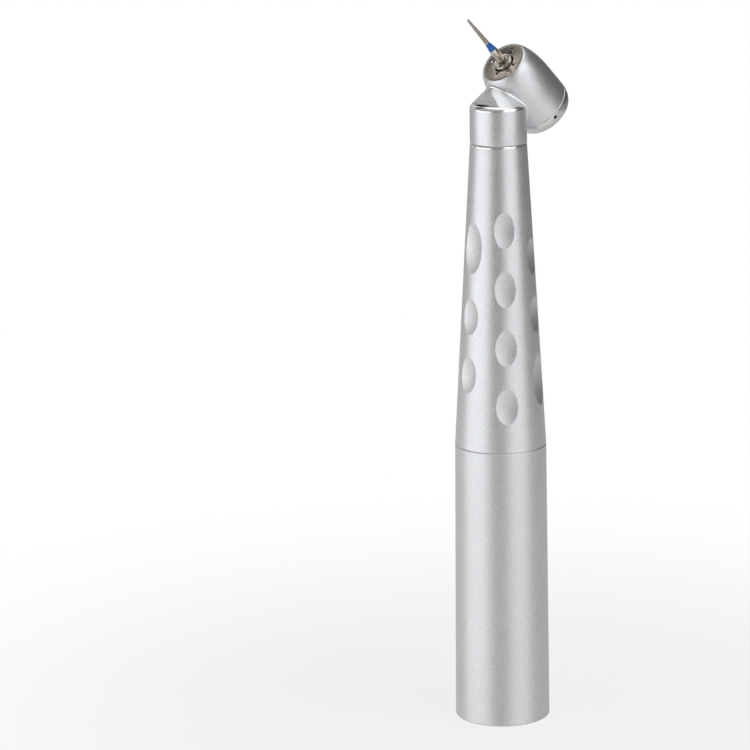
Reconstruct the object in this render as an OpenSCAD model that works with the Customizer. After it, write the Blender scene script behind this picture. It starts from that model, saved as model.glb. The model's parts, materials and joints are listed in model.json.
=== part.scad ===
// Dental high speed handpiece: an air turbine in a head set at 45 degrees on a tapered grip.
// Millimetres. The origin is the centre of the rear face, +Z runs along the body to the head,
// and the bur leans towards -X. The neck and the outside of the head are symmetric about the XZ plane.
// Depths in the head are counted inwards along the bur's axis from a plane just inside its rim.

/* [Body] */
// Length of the plain rear sleeve
sleeve_len = 52.7; // [50:0.1:56]
// Diameter of the rear sleeve at its rear edge
sleeve_rear_d = 17.7; // [17.5:0.05:18.4]
// Diameter where the rear sleeve meets the grip
waist_d = 16.95; // [16.8:0.05:17.4]
// Length of the tapered grip
grip_len = 56.6; // [54:0.1:60]
// Diameter of the grip's front end and of the neck collar
neck_d = 10.44; // [10.3:0.02:10.8]
// Length of the straight neck collar
neck_len = 7.05; // [6.8:0.05:7.6]

/* [Grip dimples] */
// Distance between two dimples of a column
dimple_pitch = 10.87; // [10:0.01:11]
// Height of the top dimple of a long column above the grip's rear end
dimple_top = 41.3; // [40.5:0.1:42]
// Length of a usual dimple
dimple_len = 6.7; // [5.5:0.1:7.2]
// Length of a long dimple, which marks where a fingertip goes
long_dimple_len = 9.5; // [8:0.05:10]
// Depth of a usual dimple
dimple_depth = 0.45; // [0.3:0.01:0.5]
// Depth of a long dimple
long_dimple_depth = 0.61; // [0.5:0.01:0.7]
// Turn of the columns of dimples about the body, from the plane that the bur leans in
dimple_turn = -3.8; // [-5:0.1:5]

/* [Head] */
// Angle between the bur and the body
head_tilt = 45; // [43:0.5:47]
// Diameter of the head barrel
head_d = 11.68; // [11.6:0.02:12]
// Height at which the bur's axis crosses the body's axis
head_cross_z = 125.17; // [125:0.01:125.3]
// Distance from that crossing back to the plane that depths are counted from
face_back = 2.3; // [2.2:0.05:2.4]
// Diameter of the rim around the spray plate
rim_d = 8.6; // [8.5:0.05:9]
// Length of the rounded shoulder behind the rim
shoulder_len = 7; // [6:0.1:8]
// Travel of the push button
button_travel = 0.9; // [0.7:0.05:0.9]

/* [Rotor] */
// Number of balls in a bearing
ball_count = 7; // [6:1:8]
// Number of turbine blades
blade_count = 10; // [8:1:12]

/* [Bur] */
// Diameter of the bur's shank, a standard friction grip
shank_d = 1.6; // [1.59:0.005:1.6]
// Length of the bur in front of the head
bur_reach = 12.7; // [11:0.05:14]
// Diameter of the bur's tip
bur_tip_d = 0.46; // [0.3:0.02:0.6]

/* [Coupler socket] */
// Diameter of the recess that takes the coupler's collar
mouth_d = 15.4; // [15.2:0.05:15.6]
// Depth of that recess
mouth_len = 7; // [6:0.5:8]
// Diameter of the bore that takes the coupler's sealed barrel
barrel_bore_d = 9.8; // [9.6:0.05:10]
// Length of that bore
barrel_bore_len = 20; // [18:0.5:21]
// Diameter of the bore that takes the coupler's lamp tip
lamp_bore_d = 5.9; // [5.7:0.05:6]

/* [Hidden] */
$fn = 96;
cut = 0.5;                                  // overrun of a cutting shape
edge = 0.12;                                // chamfer at the joint lines

waist_z = sleeve_len;
neck_z = waist_z + grip_len;
ledge_z = neck_z + neck_len;
waist_r = waist_d / 2;
neck_r = neck_d / 2;
grip_slope = atan((waist_r - neck_r) / grip_len);

// Fits between the outer pieces
core_r = 7.5;                               // socket, tube block and grip spigot
spigot_len = 4;
block_len = 2;
block_z = waist_z - spigot_len - block_len; // rear face of the tube block
neck_spigot_r = 4.15;
neck_spigot_len = 5;
neck_bore_r = 3.5;
neck_bore_top = neck_z + 4.2;

// Ball whose print is a usual dimple
dimple_ball_r = print_r(dimple_len, dimple_depth);

// Neck top: a cone cut back on the bur side by a steep face over a flat ledge
rim_round = 0.3;
ledge_chord = 3.15;
ledge_face_lean = 16;

// Head, as radius and depth
head_r = head_d / 2;
rim_r = rim_d / 2;
face_x = face_back * sin(head_tilt);
face_z = head_cross_z - face_back * cos(head_tilt);
rim_front = -0.42;
shoulder_power = 1.4;                       // above 1, the shoulder leaves the rim at a slant
plate_r = 4.2;
plate_front = -0.32;
plate_back = 1.15;
plate_hole_r = 1.95;
port_pitch_r = 2.82;                        // at the back of the plate
port_r = 0.3;
port_lean = 15;                             // ports aim at the bur's cutting end
front_race = 1.45;                          // front face of the front bearing
race_w = 2.38;
rear_race = 8.35;                           // front face of the rear bearing
seat_r = 3.25;
seal_groove_r = 3.87;
seal_groove_w = 0.8;
chamber_r = 4.5;
chamber_front = 4.05;
chamber_back = 8.1;
cap_thread_r = 4.9;
cap_front = 11.65;                          // joint line of the back cap
cap_floor = 11.6;
cap_dome = 11.75;                           // the cap's side is a part of an oval from here back
cap_dome_r = 1.2;
cap_dome_len = 2.6;
cap_dome_turn = 69;                         // where that oval gives way to the flat end
cap_end = cap_dome + cap_dome_len * sin(cap_dome_turn);
spanner_hole_depth = 12.4;
spanner_hole_r = 0.36;
spanner_hole_turn = -72;
button_flange_r = 4.1;
button_r = 3.75;
recess_r = button_flange_r + 0.55;          // recess in the cap for the retaining ring
spring_closed = 0.35;                       // height of the button spring when pressed flat
button_under = cap_floor + button_travel + spring_closed;
button_end = cap_end + 0.45;

// Bearings
race_bore_r = 1.5875;
race_out_r = 3.175;
ball_r = 0.5;
ball_pitch_r = (race_bore_r + race_out_r) / 2;
groove_r = ball_r + 0.02;
race_land = 0.3;                            // half of the gap between the two races

// Spindle and chuck
nose_r = 1.75;
nose_bore_r = 1.42;
nose_front = -0.89;
chuck_r = 1.25;
chuck_front = -0.15;
chuck_bore_r = shank_d / 2 + 0.015;
spindle_end = 10.95;
shank_end = 9;
pusher_r = 0.8;
pusher_tip = 9.7;
pusher_tail = 11.75;
button_boss = pusher_tail + 0.35;           // the button rests clear of the pusher

// Lines that run up the body, as [x, y] and outer radius
drive_at = [1.9, 1.2];
drive_r = 1.1;
exhaust_at = [1.7, -1.2];
exhaust_r = 1.1;
water_at = [0, -1.8];
chip_at = [0, 1.8];
line_r = 0.5;
rod_r = 1;
rod_flat_z = 105;
rod_flat_x = -2.3;
window_x = -3.95;
window_w = 1.3;
window_len = 3;
channel_r = 6.2;                            // drilled passages in the socket wall

satin = [0.78, 0.79, 0.81];
steel = [0.72, 0.69, 0.66];
bright = [0.85, 0.85, 0.86];
bronze = [0.7, 0.52, 0.3];
rubber = [0.12, 0.12, 0.13];
glass = [0.75, 0.82, 0.88];

// A solid of revolution from [radius, height] points
module lathe(outline) {
    rotate_extrude() polygon(outline);
}

// Places a shape drawn as [radius, depth] on the head's axis
module in_head() {
    translate([face_x, 0, face_z]) rotate([0, 180 - head_tilt, 0]) children();
}

// A quarter round from the outside of a solid to its end face
function quarter(r, z, round, steps = 6) =
    [for (i = [0:steps]) let (a = 90 * i / steps) [r + round * cos(a), z + round * sin(a)]];

// A straight rod between two points
module rod(from, to, r) {
    way = to - from;
    translate(from)
        rotate([0, acos(way.z / norm(way)), atan2(way.y, way.x)]) cylinder(r = r, h = norm(way));
}

// Outer sleeves

module rear_sleeve() {
    rear_r = sleeve_rear_d / 2;
    color(satin) lathe([
        [mouth_d / 2, 0],
        [rear_r - 0.3, 0],
        [rear_r - 0.09, 0.09],
        [rear_r, 0.3],
        [waist_r, waist_z - edge],
        [waist_r - edge, waist_z],
        [core_r, waist_z],
        [core_r, mouth_len],
        [mouth_d / 2, mouth_len]
    ]);
}

// Turns a cutting shape so that +X points straight out of the grip, at a height and a turn
module on_grip(z, turn) {
    surface_r = neck_r + (neck_z - z) * tan(grip_slope);
    rotate(turn + dimple_turn) translate([surface_r, 0, z]) rotate([0, -grip_slope, 0]) children();
}

// Radius of the cutter that leaves a print of a length and a depth
function print_r(len, depth) = (len * len / 4 + depth * depth) / (2 * depth);

// A usual dimple is the print of a ball
module usual_dimple(z, turn) {
    on_grip(z, turn) translate([dimple_ball_r - dimple_depth, 0, 0])
        sphere(r = dimple_ball_r, $fn = 72);
}

// A long dimple is the print of a wheel whose rim is crowned like that ball
module long_dimple(z, turn) {
    wheel_r = print_r(long_dimple_len, long_dimple_depth);
    half_w = 3.2;
    crown = asin(half_w / dimple_ball_r);
    on_grip(z, turn) translate([wheel_r - long_dimple_depth, 0, 0]) rotate([90, 0, 0])
        lathe(concat([[0, -half_w]], [for (i = [-6:6]) let (a = crown * i / 6)
            [wheel_r - dimple_ball_r + dimple_ball_r * cos(a), dimple_ball_r * sin(a)]], [[0, half_w]]));
}

// Six columns of dimples: three of four, and three of three half a pitch lower between them.
// A short column has one long dimple, at its top on the bur side and at its foot elsewhere.
module dimples() {
    top_z = waist_z + dimple_top;
    short_z = top_z - dimple_pitch / 2;
    grow = (long_dimple_len - dimple_len) / 2;
    for (turn = [0, 120, 240], i = [0:3])
        usual_dimple(top_z - i * dimple_pitch, turn);
    for (turn = [60, 180, 300])
        usual_dimple(short_z - dimple_pitch, turn);
    usual_dimple(short_z - 2 * dimple_pitch, 180);
    for (turn = [60, 300]) {
        usual_dimple(short_z, turn);
        long_dimple(short_z - 2 * dimple_pitch - grow, turn);
    }
    long_dimple(short_z + grow + 0.4, 180);
}

module grip_sleeve() {
    spigot_bore_r = 6;
    seal_r = 6.8;
    seal_z = waist_z - 2.5;
    seal_w = 1;
    color(satin) difference() {
        lathe([
            [spigot_bore_r, waist_z - spigot_len],
            [core_r, waist_z - spigot_len],
            [core_r, seal_z],
            [seal_r, seal_z],
            [seal_r, seal_z + seal_w],
            [core_r, seal_z + seal_w],
            [core_r, waist_z],
            [waist_r - edge, waist_z],
            [waist_r, waist_z + edge],
            [neck_r, neck_z - edge],
            [neck_r - edge, neck_z],
            [neck_spigot_r, neck_z],
            [neck_spigot_r, neck_z - neck_spigot_len],
            [neck_spigot_r + 0.15, neck_z - neck_spigot_len - 0.2],
            [spigot_bore_r, waist_z + 6]
        ]);
        dimples();
    }
}

// Neck and head

// The face over the ledge, as everything in front of it
module ledge_cut() {
    rise = 10;
    rotate([90, 0, 0]) linear_extrude(height = 2 * neck_d, center = true) polygon([
        [-ledge_chord, ledge_z],
        [-ledge_chord + rise * tan(ledge_face_lean), ledge_z + rise],
        [-neck_d, ledge_z + rise],
        [-neck_d, ledge_z]
    ]);
}

module neck() {
    seal_r = 3.8;
    seal_z = neck_z - 3;
    seal_w = 0.5;
    cone_r = neck_r - rim_round;
    color(satin) difference() {
        lathe(concat([
            [neck_bore_r, neck_z - neck_spigot_len],
            [neck_spigot_r, neck_z - neck_spigot_len],
            [neck_spigot_r, seal_z],
            [seal_r, seal_z],
            [seal_r, seal_z + seal_w],
            [neck_spigot_r, seal_z + seal_w],
            [neck_spigot_r, neck_z],
            [neck_r - edge, neck_z],
            [neck_r, neck_z + edge]
        ], quarter(cone_r, ledge_z - rim_round, rim_round), [
            [0, ledge_z + cone_r],
            [0, neck_bore_top],
            [neck_bore_r, neck_bore_top]
        ]));
        ledge_cut();
        head_envelope();
        light_rod_form();
        line_form(drive_at, drive_r, neck_bore_top - cut);
        line_form(exhaust_at, exhaust_r, neck_bore_top - cut);
        line_form(water_at, line_r, neck_bore_top - cut);
        line_form(chip_at, line_r, neck_bore_top - cut);
    }
}

// Outside of the head from its rim to the cap's joint line
head_outline = concat(
    [for (i = [0:16]) let (a = 90 * i / 16)
        [rim_r + (head_r - rim_r) * pow(sin(a), shoulder_power),
         rim_front + shoulder_len * (1 - cos(a))]],
    [[head_r, cap_front - 0.08]]
);

module head_envelope() {
    in_head() lathe(concat([[0, rim_front]], head_outline, [[head_r, cap_end], [0, cap_end]]));
}

// A passage drilled from a supply line to the back of the spray plate
module spray_passage(at) {
    turn = asin(at.y / head_r);
    in_head() rotate(turn)
        rod([plate_r - 0.5, 0, plate_back - 0.15], [head_r, 0, plate_back + 2.05], 0.3);
}

module head_housing() {
    seal_front = front_race + (race_w - seal_groove_w) / 2;
    color(satin) difference() {
        in_head() lathe(concat([
            [2.6, plate_back],
            [plate_r, plate_back],
            [plate_r, rim_front + 0.06],
            [plate_r + 0.06, rim_front]
        ], head_outline, [
            [head_r - 0.08, cap_front],
            [cap_thread_r, cap_front],
            [cap_thread_r, chamber_back],
            [chamber_r, chamber_back],
            [chamber_r, chamber_front],
            [seat_r, chamber_front],
            [seat_r, seal_front + seal_groove_w],
            [seal_groove_r, seal_front + seal_groove_w],
            [seal_groove_r, seal_front],
            [seat_r, seal_front],
            [seat_r, front_race],
            [2.6, front_race]
        ]));
        line_form(drive_at, drive_r - 0.25, ledge_z - 4, ledge_z + 1);
        line_form(exhaust_at, exhaust_r, ledge_z - 4, ledge_z + 1);
        spray_passage(water_at);
        spray_passage(chip_at);
    }
}

module spray_plate() {
    groove_in = 2.25;
    groove_out = 3.85;
    color(steel) in_head() difference() {
        lathe([
            [plate_hole_r + 0.1, plate_front + 0.12],
            [plate_r - 0.4, plate_front],
            [plate_r - 0.08, plate_front],
            [plate_r, plate_front + 0.08],
            [plate_r, plate_back],
            [groove_out, plate_back],
            [groove_out, plate_back - 0.3],
            [groove_in, plate_back - 0.3],
            [groove_in, plate_back],
            [plate_hole_r, plate_back],
            [plate_hole_r, plate_front + 0.22]
        ]);
        for (turn = [0:90:270])
            rotate(turn) translate([port_pitch_r, 0, plate_back]) rotate([0, port_lean, 0])
                cylinder(r = port_r, h = 4, center = true);
    }
}

module back_cap() {
    seal_front = rear_race + (race_w - seal_groove_w) / 2;
    washer_floor = spindle_end;
    color(steel) in_head() difference() {
        lathe(concat([
            [seat_r, chamber_back],
            [cap_thread_r, chamber_back],
            [cap_thread_r, cap_front],
            [head_r - 0.08, cap_front],
            [head_r, cap_front + 0.08]
        ], [for (i = [0:9]) let (a = cap_dome_turn * i / 9)
            [head_r - cap_dome_r + cap_dome_r * cos(a), cap_dome + cap_dome_len * sin(a)]], [
            [recess_r, cap_end],
            [recess_r, cap_end - 0.6],
            [button_flange_r + 0.1, cap_end - 0.6],
            [button_flange_r + 0.1, cap_floor],
            [2.2, cap_floor],
            [2.2, washer_floor],
            [seat_r, washer_floor],
            [seat_r, seal_front + seal_groove_w],
            [seal_groove_r, seal_front + seal_groove_w],
            [seal_groove_r, seal_front],
            [seat_r, seal_front]
        ]));
        for (i = [0:3])
            rotate(spanner_hole_turn + 90 * i) translate([head_r - 0.6, 0, spanner_hole_depth])
                rotate([0, 90, 0]) cylinder(r = spanner_hole_r, h = 1);
    }
}

module button_retainer() {
    color(bright) in_head() lathe([
        [button_r + 0.1, cap_end - 0.6],
        [recess_r, cap_end - 0.6],
        [recess_r, cap_end - 0.05],
        [recess_r - 0.15, cap_end + 0.05],
        [button_r + 0.25, cap_end + 0.05],
        [button_r + 0.1, cap_end - 0.1]
    ]);
}

// The button's crown is a shallow dome with a rounded edge
module push_button() {
    flange_top = cap_end - 0.65;
    crown_edge = cap_end - 0.15;
    crown_round = 0.3;
    color(steel) in_head() lathe(concat([
        [0, button_boss],
        [1.2, button_boss],
        [1.2, button_under],
        [button_flange_r, button_under],
        [button_flange_r, flange_top],
        [button_r, flange_top]
    ], quarter(button_r - crown_round, crown_edge, crown_round), [
        for (i = [1:6]) let (t = 1 - i / 6)
            [(button_r - crown_round) * t,
             button_end - (button_end - crown_edge - crown_round) * t * t]
    ]));
}

// A conical spring that closes flat under the button
module button_spring() {
    wire_r = 0.14;
    turns = 2.5;
    rings = 60;
    sides = 6;
    wide_r = 3.6;
    narrow_r = 1.75;
    low = cap_floor + wire_r;
    high = button_under - wire_r;
    function at(t) = let (r = wide_r + (narrow_r - wide_r) * t, a = 360 * turns * t)
        [r * cos(a), r * sin(a), low + (high - low) * t];
    path = [for (i = [0:rings]) at(i / rings)];
    points = [for (i = [0:rings], j = [0:sides - 1])
        let (a = 360 * turns * i / rings, b = 360 * j / sides)
            path[i] + wire_r * [cos(b) * cos(a), cos(b) * sin(a), sin(b)]];
    tube = [for (i = [0:rings - 1], j = [0:sides - 1])
        let (k = (j + 1) % sides, p = i * sides, q = p + sides)
            each [[p + j, q + k, p + k], [p + j, q + j, q + k]]];
    ends = [[for (j = [0:sides - 1]) j],
            [for (j = [sides - 1:-1:0]) rings * sides + j]];
    per_turn = rings / turns;
    gaps = [for (i = [0:rings], j = [i + per_turn / 2:rings]) norm(path[i] - path[j]) - 2 * wire_r];
    echo(button_spring_least_gap = min(gaps));
    color(bright) in_head() polyhedron(points, concat(tube, ends));
}

// Socket and supply lines

// A line along the body, cut off where it meets the head unless its end is given
module line_form(at, r, from, to = undef) {
    top = is_undef(to) ? ledge_z + 3 : to;
    translate([at.x, at.y, from]) cylinder(r = r, h = top - from);
}

module tube(at, r, wall) {
    difference() {
        line_form(at, r, block_z);
        line_form(at, r - wall, block_z - cut);
        head_envelope();
    }
}

module drive_air_tube() {
    color(bright) tube(drive_at, drive_r, 0.25);
}

module water_tube() {
    color(bright) tube(water_at, line_r, 0.2);
}

module chip_air_tube() {
    color(bright) tube(chip_at, line_r, 0.2);
}

// The rod is round from the lamp up to the neck, and an oval from there to its end in the ledge
module light_rod_form() {
    foot_lean = atan(rod_flat_x / (rod_flat_z - block_z));
    lean = atan((rod_flat_x - window_x) / (ledge_z - rod_flat_z));
    difference() {
        union() {
            translate([0, 0, block_z]) rotate([0, foot_lean, 0])
                translate([0, 0, -1]) cylinder(r = rod_r, h = rod_flat_z - block_z + 1);
            translate([rod_flat_x, 0, rod_flat_z]) rotate([0, -lean, 0])
                translate([0, 0, -1]) linear_extrude(height = 15) {
                    square([window_w, window_len - window_w], center = true);
                    for (side = [-1, 1])
                        translate([0, side * (window_len - window_w) / 2]) circle(r = window_w / 2);
                }
        }
        translate([-neck_d, -neck_d, ledge_z]) cube(2 * neck_d);
        translate([-neck_d, -neck_d, block_z - 2 * neck_d]) cube(2 * neck_d);
    }
}

module light_rod() {
    color(glass) light_rod_form();
}

// Passages in the socket wall, as [turn, height of the opening in the bore]
passages = [[atan2(drive_at.y, drive_at.x), 22], [atan2(water_at.y, water_at.x), 18],
            [atan2(chip_at.y, chip_at.x), 14]];
exhaust_turns = [-20, -50];

module coupler_socket() {
    barrel_end = mouth_len + barrel_bore_len;
    bore_r = barrel_bore_d / 2;
    color(bright) difference() {
        lathe([
            [bore_r + 0.4, mouth_len],
            [core_r, mouth_len],
            [core_r, mouth_len + 6],
            [core_r - 0.3, mouth_len + 6],
            [core_r - 0.3, block_z - 6],
            [core_r, block_z - 6],
            [core_r, block_z],
            [lamp_bore_d / 2, block_z],
            [lamp_bore_d / 2, barrel_end],
            [bore_r, barrel_end],
            [bore_r, mouth_len + 0.4]
        ]);
        for (p = passages) rotate(p[0]) {
            translate([channel_r, 0, p[1]]) cylinder(r = 0.6, h = block_z);
            translate([0, 0, p[1]]) rotate([0, 90, 0]) cylinder(r = 0.5, h = channel_r);
        }
        for (turn = exhaust_turns)
            rotate(turn) translate([channel_r, 0, mouth_len - cut]) cylinder(r = 0.8, h = block_z);
    }
}

module tube_block() {
    slot_w = 1;
    slot_depth = 0.8;
    lines = [[drive_at, drive_r], [water_at, line_r], [chip_at, line_r]];
    color(bright) difference() {
        translate([0, 0, block_z]) cylinder(r = core_r, h = block_len);
        for (l = lines) {
            line_form(l[0], l[1], block_z - cut);
            rotate(atan2(l[0].y, l[0].x)) translate([norm(l[0]) + l[1] - 0.2, -slot_w / 2, block_z - cut])
                cube([channel_r + 0.5 - norm(l[0]) - l[1] + 0.2, slot_w, slot_depth + cut]);
        }
        light_rod_form();
        for (turn = exhaust_turns)
            rotate(turn) translate([channel_r, 0, block_z - cut]) cylinder(r = 0.8, h = block_len + 1);
    }
}

// A rubber ring on the body's axis, as the radius and height of its middle
module seal(r, z, section_r) {
    color(rubber) translate([0, 0, z]) rotate_extrude() translate([r, 0]) circle(r = section_r);
}

module sleeve_seal() {
    seal(core_r - 0.35, waist_z - 2, 0.35);
}

module neck_seal() {
    seal(neck_spigot_r - 0.175, neck_z - 2.75, 0.175);
}

// Turbine

module o_ring(race) {
    section_r = (seal_groove_r - race_out_r) / 2 - 0.01;
    in_head() seal(seal_groove_r - section_r, race + race_w / 2, section_r);
}

module front_o_ring() {
    o_ring(front_race);
}

module rear_o_ring() {
    o_ring(rear_race);
}

// A thin washer with three waves that presses on the rear bearing
module preload_washer() {
    steps = 36;
    thick = 0.1;
    in_r = 2.72;
    out_r = 3.14;
    gap = spindle_end - rear_race - race_w;
    swing = (gap - thick) / 2;
    function height(i) = rear_race + race_w + swing * (1 + cos(3 * 360 * i / steps));
    corners = [[in_r, 0], [out_r, 0], [out_r, thick], [in_r, thick]];
    points = [for (i = [0:steps - 1], c = corners) let (a = 360 * i / steps)
        [c.x * cos(a), c.x * sin(a), height(i) + c.y]];
    faces = [for (i = [0:steps - 1], j = [0:3])
        let (p = 4 * i, q = 4 * ((i + 1) % steps), k = (j + 1) % 4)
            each [[p + j, p + k, q + k], [p + j, q + k, q + j]]];
    color(bright) in_head() polyhedron(points, faces);
}

module race_groove(race) {
    rotate_extrude() translate([ball_pitch_r, race + race_w / 2]) circle(r = groove_r);
}

module outer_race(race) {
    color(bright) in_head() difference() {
        lathe([
            [ball_pitch_r + race_land, race],
            [race_out_r, race],
            [race_out_r, race + race_w],
            [ball_pitch_r + race_land, race + race_w]
        ]);
        race_groove(race);
    }
}

module inner_race(race) {
    color(bright) in_head() difference() {
        lathe([
            [race_bore_r, race],
            [ball_pitch_r - race_land, race],
            [ball_pitch_r - race_land, race + race_w],
            [race_bore_r, race + race_w]
        ]);
        race_groove(race);
    }
}

module balls(race) {
    color(steel) in_head() for (i = [0:ball_count - 1])
        rotate(360 * i / ball_count) translate([ball_pitch_r, 0, race + race_w / 2])
            sphere(r = ball_r);
}

// A ring with a round pocket for each ball
module cage(race) {
    half_w = 0.26;
    pocket_r = ball_r + 0.05;
    color(bronze) in_head() difference() {
        lathe([
            [ball_pitch_r - half_w, race + 0.35],
            [ball_pitch_r + half_w, race + 0.35],
            [ball_pitch_r + half_w, race + race_w - 0.35],
            [ball_pitch_r - half_w, race + race_w - 0.35]
        ]);
        for (i = [0:ball_count - 1])
            rotate(360 * i / ball_count) translate([ball_pitch_r, 0, race + race_w / 2])
                rotate([0, 90, 0]) cylinder(r = pocket_r, h = 3 * half_w, center = true);
    }
}

module front_bearing_outer() {
    outer_race(front_race);
}

module front_bearing_inner() {
    inner_race(front_race);
}

module front_bearing_balls() {
    balls(front_race);
}

module front_bearing_cage() {
    cage(front_race);
}

module rear_bearing_outer() {
    outer_race(rear_race);
}

module rear_bearing_inner() {
    inner_race(rear_race);
}

module rear_bearing_balls() {
    balls(rear_race);
}

module rear_bearing_cage() {
    cage(rear_race);
}

module spindle() {
    color(steel) in_head() lathe([
        [chuck_r, chuck_front - 0.1],
        [nose_bore_r, chuck_front - 0.1],
        [nose_bore_r, nose_front + 0.1],
        [nose_bore_r + 0.1, nose_front],
        [nose_r - 0.1, nose_front],
        [nose_r, nose_front + 0.1],
        [nose_r, front_race],
        [race_bore_r, front_race],
        [race_bore_r, spindle_end],
        [pusher_r + 0.03, spindle_end],
        [pusher_r + 0.03, 8.6],
        [chuck_r, 8.6]
    ]);
}

// A hub between the two bearings with raked blades, left between pockets scooped in two cuts
module impeller() {
    tip_r = 4.2;
    blade_front = 4.3;
    blade_back = 7.85;
    scoop_r = 0.95;
    scoop_at = 3.5;
    rake_r = 0.75;
    rake_at = 4.25;
    rake_turn = -12;
    front_end = front_race + race_w;
    color(bright) in_head() difference() {
        lathe([
            [race_bore_r, front_end],
            [1.9, front_end],
            [1.9, blade_front],
            [tip_r, blade_front],
            [tip_r, blade_back],
            [1.9, blade_back],
            [1.9, rear_race],
            [race_bore_r, rear_race]
        ]);
        for (i = [0:blade_count - 1]) rotate(360 * i / blade_count) {
            translate([scoop_at, 0, blade_front - cut]) cylinder(r = scoop_r, h = 5);
            rotate(rake_turn) translate([rake_at, 0, blade_front - cut]) cylinder(r = rake_r, h = 5);
        }
    }
}

// A slotted sleeve that grips the bur's shank
module chuck_collet() {
    slot_w = 0.3;
    slot_end = 6;
    chuck_back = 8.4;
    color(steel) in_head() difference() {
        lathe([
            [chuck_bore_r + 0.1, chuck_front],
            [chuck_r - 0.08, chuck_front],
            [chuck_r, chuck_front + 0.08],
            [chuck_r, chuck_back],
            [chuck_bore_r, chuck_back],
            [chuck_bore_r, chuck_front + 0.1]
        ]);
        for (turn = [26, 146, 266])
            rotate(turn) translate([0, -slot_w / 2, chuck_front - cut])
                cube([2 * chuck_r, slot_w, slot_end - chuck_front + cut]);
    }
}

module chuck_pusher() {
    color(steel) in_head() lathe([
        [0, pusher_tip],
        [pusher_r - 0.3, pusher_tip],
        [pusher_r, pusher_tip + 0.3],
        [pusher_r, pusher_tail - 0.1],
        [pusher_r - 0.1, pusher_tail],
        [0, pusher_tail]
    ]);
}

// A straight shank, a coloured cone, and a long tapered cutting end with a rounded tip
module bur() {
    shank_r = shank_d / 2;
    tip_r = bur_tip_d / 2;
    cone_start = -3.7;
    cone_end = -6.05;
    tip_z = -bur_reach;
    color(steel) in_head() lathe(concat([
        [0, shank_end],
        [shank_r - 0.1, shank_end],
        [shank_r, shank_end - 0.1],
        [shank_r, cone_start],
        [0.41, cone_end],
        [0.46, cone_end - 0.2]
    ], [for (i = [0:5]) let (a = 90 * i / 5) [tip_r * cos(a), tip_z + tip_r - tip_r * sin(a)]]));
}

rear_sleeve();
grip_sleeve();
neck();
head_housing();
spray_plate();
back_cap();
button_retainer();
push_button();
button_spring();
coupler_socket();
tube_block();
sleeve_seal();
neck_seal();
drive_air_tube();
water_tube();
chip_air_tube();
light_rod();
front_o_ring();
rear_o_ring();
preload_washer();
front_bearing_outer();
front_bearing_inner();
front_bearing_balls();
front_bearing_cage();
rear_bearing_outer();
rear_bearing_inner();
rear_bearing_balls();
rear_bearing_cage();
spindle();
impeller();
chuck_collet();
chuck_pusher();
bur();
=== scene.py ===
import json
import math

import bpy
from mathutils import Matrix, Vector


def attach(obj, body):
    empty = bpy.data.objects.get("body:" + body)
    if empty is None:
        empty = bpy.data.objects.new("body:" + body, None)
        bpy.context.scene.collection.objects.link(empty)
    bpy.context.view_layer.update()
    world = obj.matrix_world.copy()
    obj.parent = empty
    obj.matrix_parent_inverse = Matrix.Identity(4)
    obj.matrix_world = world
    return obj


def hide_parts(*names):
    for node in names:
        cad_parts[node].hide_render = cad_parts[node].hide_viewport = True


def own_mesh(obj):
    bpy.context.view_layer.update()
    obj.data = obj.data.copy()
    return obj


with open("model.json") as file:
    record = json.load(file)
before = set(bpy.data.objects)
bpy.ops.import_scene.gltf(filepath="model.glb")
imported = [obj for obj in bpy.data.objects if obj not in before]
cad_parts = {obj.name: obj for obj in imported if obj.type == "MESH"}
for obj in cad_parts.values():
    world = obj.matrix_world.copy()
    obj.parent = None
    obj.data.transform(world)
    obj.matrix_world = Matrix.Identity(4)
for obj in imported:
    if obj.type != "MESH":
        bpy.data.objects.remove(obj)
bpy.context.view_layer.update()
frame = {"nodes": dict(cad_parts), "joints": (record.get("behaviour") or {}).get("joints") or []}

# The view: the photograph's camera, a long lens a little above the handpiece and to the bur's side.
# Its place is in the frame's own axes, in millimetres, and its turn, dip and tilt are in degrees.
MM = 0.001
camera_at = Vector((-438.5, -469.1, 220.8)) * MM
camera_turn, camera_dip, camera_tilt = -41.0, 13.56, -0.92
focal_px, frame_px = 3564.0, 750.0
lens = bpy.data.cameras.new("photo_lens")
lens.sensor_width = 36.0
lens.lens = focal_px / frame_px * lens.sensor_width
lens.clip_start = 0.05
camera = bpy.data.objects.new("photo_camera", lens)
camera.matrix_world = (
    Matrix.Translation(camera_at)
    @ Matrix.Rotation(math.radians(camera_turn), 4, "Z")
    @ Matrix.Rotation(math.radians(90 - camera_dip), 4, "X")
    @ Matrix.Rotation(math.radians(camera_tilt), 4, "Z")
)
bpy.context.scene.collection.objects.link(camera)
bpy.context.scene.camera = camera
bpy.context.scene.view_settings.view_transform = "Standard"
to_camera = Vector((camera_at.x, camera_at.y, 0)).normalized()
camera_right = Vector((-to_camera.y, to_camera.x, 0))


def add(tree, kind, inputs=(), **settings):
    """A shader node with its settings, whose inputs take plain values or other nodes' outputs."""
    made = tree.nodes.new("ShaderNode" + kind)
    for name, value in settings.items():
        setattr(made, name, value)
    for socket, value in dict(inputs).items():
        if isinstance(value, bpy.types.NodeSocket):
            tree.links.new(value, made.inputs[socket])
        else:
            made.inputs[socket].default_value = value
    return made


def blend(tree, part, one, other):
    """A number that goes from one to the other by a part."""
    return add(tree, "Mix", {0: part, 2: one, 3: other}, data_type="FLOAT").outputs[0]


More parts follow.
